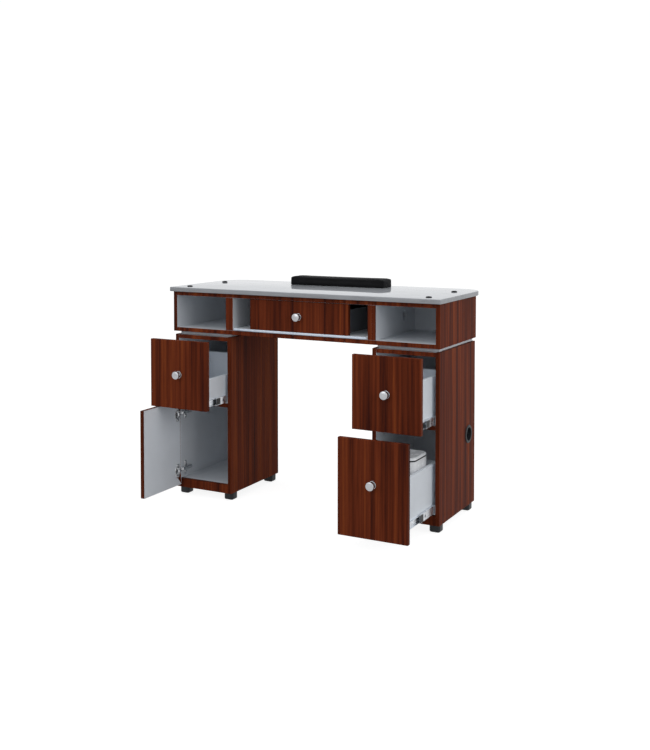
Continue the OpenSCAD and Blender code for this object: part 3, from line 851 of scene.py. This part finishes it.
class TABLE_OT_feet(bpy.types.Operator):
    """Mould the eight feet, rounded towards the floor"""

    bl_idname = "nail_table.feet"
    bl_label = "Feet"

    def execute(self, context):
        sizes = context.scene.table_moulds
        low, high = corners("pedestal_feet")
        outer_face = corners("right_pedestal_outer_side")[1][0]
        inner_face = corners("right_pedestal_inner_side")[0][0]
        height, width = high[2], sizes.foot_width
        edge = arc((5.5 * MM, 6.2 * MM), 5.5 * MM, 270, 180, 7)
        tread = [(7.5 * MM, 0), (6.7 * MM, 0.7 * MM)]
        top = [(0, height - 1.2 * MM), (1.2 * MM, height)]
        profile = np.concatenate([tread, edge, top])
        rights = (inner_face + outer_face - high[0], high[0] - width)
        lefts = tuple(-x - width for x in rights)
        feet = [placed(prism((0, 0), (width, width), sizes.foot_corner, profile, 8), (x, y, 0))
            for x in rights + lefts for y in (low[1], high[1] - width)]
        make_piece("moulded_feet", joined(feet), "cabinet", look("moulded_black"),
            ["pedestal_feet"])
        return {"FINISHED"}


class TABLE_OT_port(bpy.types.Operator):
    """Turn the ring of the hose port: a rounded flange with an inner step, and its sleeve"""

    bl_idname = "nail_table.port"
    bl_label = "Hose port"

    def execute(self, context):
        low, high = corners("hose_port_ring")
        panel = corners("right_pedestal_outer_side")[1][0]
        outer, rise, depth = (high[2] - low[2]) / 2, high[0] - panel, panel - low[0]
        opening = outer - context.scene.table_moulds.port_flange
        sleeve = opening + 3.8 * MM
        lip = arc((opening + 1.6 * MM, rise - 1.6 * MM), 1.6 * MM, 180, 90, 6)
        step = [(opening + 4.6 * MM, rise), (opening + 5.0 * MM, rise - 0.7 * MM)]
        flange = arc((outer - 1.8 * MM, rise - 2.5 * MM), 1.8 * MM, 90, 0, 6)
        back = [(outer, 0), (sleeve, 0), (sleeve, -depth), (opening, -depth)]
        ring = lathe(np.concatenate([lip, step, flange, back]), 72, closed=True)
        middle = (low + high) / 2
        make_piece("port_ring", placed(ring, (panel, middle[1], middle[2]), BACK, UP, RIGHT), "cabinet",
            look("moulded_black"), ["hose_port_ring"])
        return {"FINISHED"}


class TABLE_OT_trim(bpy.types.Operator):
    """Draw the bright strip along the front of the pull-out tray"""

    bl_idname = "nail_table.trim"
    bl_label = "Tray trim"

    def execute(self, context):
        low, high = corners("centre_tray_trim")
        size = high - low
        profile = [(0.5 * MM, 0), (0, 0.5 * MM), (0, size[0] - 0.5 * MM), (0.5 * MM, size[0])]
        bar = prism((0, 0), size[1:], (1.6 * MM, 0.6 * MM, 0.6 * MM, 1.6 * MM), profile, 6)
        make_piece("tray_trim_strip", placed(bar, low, BACK, UP, RIGHT), "centre_drawer",
            look("brushed_aluminium"), ["centre_tray_trim"])
        return {"FINISHED"}


# ---------- Hinges ----------


class TABLE_OT_hinges(bpy.types.Operator):
    """Fit the two concealed hinges: cups in the door, plates and arms on the side, and the links between"""

    bl_idname = "nail_table.hinges"
    bl_label = "Door hinges"

    def execute(self, context):
        low, high = corners("door_hinge_cups")
        face = corners("left_door_panel")[1][0]
        ear_reach = 26 * MM
        levels = (low[2] + ear_reach, high[2] - ear_reach)
        cup_y = (low[1] + high[1]) / 2
        cups = [self.cup((face, cup_y, z), (high[1] - low[1]) / 2, face - low[0]) for z in levels]
        make_piece("hinge_cup_shells", joined(cups), "left_door", look("nickel_plating"),
            ["door_hinge_cups"])
        arm_low, arm_high = corners("door_hinge_arms")
        arms = [self.arm(arm_low, arm_high, z) for z in levels]
        make_piece("hinge_plates_and_arms", joined(arms), "cabinet",
            look("nickel_plating"), ["door_hinge_arms"])
        for place, z in zip(("lower", "upper"), levels):
            self.link(place, arm_low, (face, cup_y), z)
        return {"FINISHED"}

    def cup(self, mouth, radius, depth):
        """A dished shell turned about the cup's axis, with two screwed ears above and below it."""
        wall, rise = 1.3 * MM, 1.1 * MM
        shell = [(0, -depth), (radius - 2 * MM, -depth), (radius, 2 * MM - depth), (radius, rise * 0.4),
            (radius - 0.8 * MM, rise), (radius - 3 * MM, rise), (radius - 3.4 * MM, 0.3 * MM),
            (radius - 3.6 * MM, 2.4 * MM - depth), (radius - 5 * MM, wall - depth), (0, wall - depth)]
        parts = [lathe(shell, 48)]
        ear = [(0.3 * MM, 0), (0, 0.3 * MM), (0, rise - 0.4 * MM), (0.4 * MM, rise)]
        for side in (-1, 1):
            reach = sorted((side * 14.5 * MM, side * 26 * MM))
            parts.append(prism((-9 * MM, reach[0]), (9 * MM, reach[1]), 4 * MM, ear, 6))
            parts.append(placed(screw_head(1.4 * MM), (0, side * 20.5 * MM, rise)))
        return placed(joined(parts), mouth, BACK, UP, RIGHT)

    def arm(self, low, high, level):
        """A plate with rounded ends and two screws on the side, and the channel-shaped arm over it."""
        plate_top, arm_top = 3 * MM, high[0] - low[0]
        plate = [(0.4 * MM, 0), (0, 0.4 * MM), (0, plate_top - 0.8 * MM), (0.8 * MM, plate_top)]
        wing = 14 * MM
        plate_y = low[1] + 26.5 * MM
        parts = [prism((plate_y, -25 * MM), (plate_y + wing, 25 * MM), 5 * MM, plate, 6)]
        for side in (-1, 1):
            seat = (plate_y + wing / 2, side * 17 * MM, plate_top)
            parts.append(placed(screw_head(2 * MM, 3.8 * MM), seat))
        bend = 3.5 * MM
        body = np.concatenate([[(0, plate_top)], arc((bend, arm_top - bend), bend, 180, 90, 6)])
        parts.append(prism((low[1], -7 * MM), (high[1], 7 * MM), 4.5 * MM, body, 6))
        for place in (24 * MM, 46 * MM):
            parts.append(placed(screw_head(1.2 * MM, 3.4 * MM), (low[1] + place, 0, arm_top - 0.1 * MM)))
        return placed(joined(parts), (low[0], 0, level), BACK, UP, RIGHT)

    def link(self, place, arm_low, cup, level):
        """A strip from the arm's end over into the cup: a cubic curve through four guide points."""
        start = np.array([arm_low[0] + 9 * MM, arm_low[1] + 5 * MM])
        end = np.array([cup[0] - 6 * MM, cup[1]])
        lead_out = start + np.array([2 * MM, -26 * MM])
        lead_in = end + np.array([25 * MM, 1 * MM])
        t = np.linspace(0, 1, 25)[:, None]
        path = ((1 - t) ** 3 * start + 3 * (1 - t) ** 2 * t * lead_out
            + 3 * (1 - t) * t ** 2 * lead_in + t ** 3 * end)
        shape = placed(strip(path, 11 * MM, 2.2 * MM), (0, 0, level))
        piece = make_piece(f"{place}_hinge_link", shape, None, look("satin_plating"))
        round_edges(piece, 0.5 * MM, 2)
        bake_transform(piece)


# ---------- Waste bin ----------


class TABLE_OT_bin(bpy.types.Operator):
    """Mould the waste bin, its black seal and its lid with a sunk panel"""

    bl_idname = "nail_table.bin"
    bl_label = "Waste bin"

    def execute(self, context):
        low, high = corners("waste_bin_body")
        seal_low, seal_high = corners("waste_bin_seal")
        lid_high = corners("waste_bin_lid")[1]
        sizes = context.scene.table_moulds
        corner, wall, floor = sizes.bin_corner, sizes.bin_wall, 3 * MM
        foot, rim = 3 * MM, wall / 2
        shell = np.concatenate([
            arc((foot, low[2] + foot), foot, 270, 180, 6),
            arc((rim, high[2] - rim), rim, 180, 0, 7),
            [(wall, low[2] + floor + 2 * MM), (wall + 2 * MM, low[2] + floor)]])
        make_piece("bin_shell", prism(low[:2], high[:2], corner, shell, 14), "waste_bin",
            look("glossy_white"), ["waste_bin_body"])
        self.seal(low, high, seal_low[2], seal_high[2], corner)
        self.lid(low, high, seal_low[2], seal_high[2], lid_high[2], corner)
        return {"FINISHED"}

    def seal(self, low, high, bottom, top, corner):
        """A band round the rim, rounded outwards, closed through its inner face."""
        outer, inner, half = 0.4 * MM, 5.2 * MM, (top - bottom) / 2
        bulge = arc((outer + half, bottom + half), half, 270, 90, 7)
        profile = np.concatenate([bulge, [(inner, top), (inner, bottom)], bulge[:1]])
        points, faces = prism(low[:2], high[:2], corner, profile, 14)
        make_piece("bin_seal_band", (points, faces[:-2]), "waste_bin",
            look("soft_rubber"), ["waste_bin_seal"])

    def lid(self, low, high, seat, bottom, top, corner):
        """A plate with a rounded shoulder, a panel sunk in its upper face and a rib inside the rim."""
        shoulder, panel, sunk = 5 * MM, 9 * MM, 0.9 * MM
        rib_out, rib_in, rib_low = 6.1 * MM, 8.1 * MM, seat - 5 * MM
        profile = np.concatenate([
            [(rib_in, bottom + 2 * MM), (rib_in, rib_low), (rib_out, rib_low), (rib_out, bottom),
                (0.8 * MM, bottom), (0, bottom + 0.8 * MM)],
            arc((shoulder, top - shoulder), shoulder, 180, 90, 9),
            arc((panel - sunk, top - sunk), sunk, 90, 0, 4),
            [(panel + 1.2 * MM, top - sunk - 0.2 * MM)]])
        make_piece("bin_lid_plate", prism(low[:2], high[:2], corner, profile, 14), "bin_lid",
            look("glossy_white"), ["waste_bin_lid"])


# ---------- Studio ----------


class TABLE_OT_studio(bpy.types.Operator):
    """Set up the camera, the pale floor and the soft lights"""

    bl_idname = "nail_table.studio"
    bl_label = "Studio"

    def execute(self, context):
        studio = context.scene.table_studio
        self.camera(context, studio)
        self.room(context, studio)
        self.floor(context, studio)
        self.lamp(context, "key_right", (3.3, -0.9, 1.7), 2.2, 26)
        self.lamp(context, "fill_front", (-1.2, -4.2, 2.2), 2.6, 24)
        self.lamp(context, "top_soft", (0.2, -0.4, 3.2), 2.4, 20)
        context.scene.view_settings.view_transform = "Standard"
        return {"FINISHED"}

    def camera(self, context, studio):
        """A camera that looks at the table over the open drawers' right side."""
        data = bpy.data.cameras.new("camera")
        data.lens = studio.lens
        data.shift_y = studio.rise
        data.clip_end = 100
        camera = bpy.data.objects.new("camera", data)
        camera.location = studio.camera_place
        camera.rotation_euler = Euler((math.radians(90) - studio.tilt, 0, studio.heading))
        context.scene.collection.objects.link(camera)
        context.scene.camera = camera

    def room(self, context, studio):
        """A white backdrop, a little dimmer in reflections and much dimmer as a light."""
        world = bpy.data.worlds.new("room")
        context.scene.world = world
        world.use_nodes = True
        tree = world.node_tree
        light = tree.nodes["Background"]
        light.inputs["Color"].default_value = (0.98, 0.99, 1.0, 1)
        rays = tree.nodes.new("ShaderNodeLightPath")
        unseen = self.choice(tree, rays.outputs["Is Glossy Ray"], studio.gloss, studio.daylight)
        shown = self.choice(tree, rays.outputs["Is Camera Ray"], 1.03, unseen)
        tree.links.new(shown, light.inputs["Strength"])

    def choice(self, tree, switch, when_on, when_off):
        """A number that is when_on where the switch is 1 and when_off where it is 0."""
        node = tree.nodes.new("ShaderNodeMix")
        tree.links.new(switch, node.inputs["Factor"])
        node.inputs["B"].default_value = when_on
        if isinstance(when_off, float):
            node.inputs["A"].default_value = when_off
        else:
            tree.links.new(when_off, node.inputs["A"])
        return node.outputs["Result"]

    def floor(self, context, studio):
        """A wide square at the level of the feet, pale to the eye and dim as a light."""
        half = studio.floor_size / 2
        points = np.array([(-half, -half, 0), (half, -half, 0), (half, half, 0), (-half, half, 0)])
        mesh = bpy.data.meshes.new("studio_floor")
        mesh.from_pydata(points.tolist(), [], [[0, 1, 2, 3]])
        floor = bpy.data.objects.new("studio_floor", mesh)
        context.scene.collection.objects.link(floor)
        material, tree, shader = new_material("pale_floor", (0.40, 0.40, 0.40), roughness=0.9, specular=0.0)
        rays = tree.nodes.new("ShaderNodeLightPath")
        seen = self.choice(tree, rays.outputs["Is Glossy Ray"], studio.floor_gloss, 0.0)
        glow = self.choice(tree, rays.outputs["Is Camera Ray"], studio.floor_glow, seen)
        tree.links.new(glow, shader.inputs["Emission Strength"])
        shader.inputs["Emission Color"].default_value = (1, 1, 1, 1)
        mesh.materials.append(material)

    def lamp(self, context, name, place, size, power):
        """A square soft lamp that looks at the middle of the table."""
        data = bpy.data.lights.new(name, "AREA")
        data.size = size
        data.energy = power
        lamp = bpy.data.objects.new(name, data)
        lamp.location = place
        lamp.rotation_euler = (Vector((0, 0, 0.4)) - Vector(place)).to_track_quat("-Z", "Y").to_euler()
        lamp.visible_camera = False
        context.scene.collection.objects.link(lamp)


# ---------- Panel and registration ----------


SETTINGS = {
    "table_finish": FinishSettings,
    "table_boards": BoardSettings,
    "table_worktop": WorktopSettings,
    "table_armrest": ArmrestSettings,
    "table_knobs": KnobSettings,
    "table_moulds": MouldSettings,
    "table_studio": StudioSettings,
}
OPERATORS = (TABLE_OT_studio, TABLE_OT_boards, TABLE_OT_slides, TABLE_OT_worktop, TABLE_OT_pads,
    TABLE_OT_armrest, TABLE_OT_knobs, TABLE_OT_feet, TABLE_OT_port, TABLE_OT_trim, TABLE_OT_hinges,
    TABLE_OT_bin)


class TABLE_PT_pieces(bpy.types.Panel):
    """Settings and pieces of the manicure table"""

    bl_idname = "TABLE_PT_pieces"
    bl_label = "Manicure Table"
    bl_space_type = "VIEW_3D"
    bl_region_type = "UI"
    bl_category = "Table"

    def draw(self, context):
        for name, group in SETTINGS.items():
            box = self.layout.box()
            for setting in group.__annotations__:
                box.prop(getattr(context.scene, name), setting)
        for operator in OPERATORS:
            self.layout.operator(operator.bl_idname)


def register():
    for group in SETTINGS.values():
        bpy.utils.register_class(group)
    for name, group in SETTINGS.items():
        setattr(bpy.types.Scene, name, PointerProperty(type=group))
    for item in (*OPERATORS, TABLE_PT_pieces):
        bpy.utils.register_class(item)


def unregister():
    for item in (TABLE_PT_pieces, *reversed(OPERATORS)):
        bpy.utils.unregister_class(item)
    for name in SETTINGS:
        delattr(bpy.types.Scene, name)
    for group in SETTINGS.values():
        bpy.utils.unregister_class(group)


def main():
    register()
    for operator in OPERATORS:
        group, name = operator.bl_idname.split(".")
        getattr(getattr(bpy.ops, group), name)()


if __name__ == "__main__":
    main()
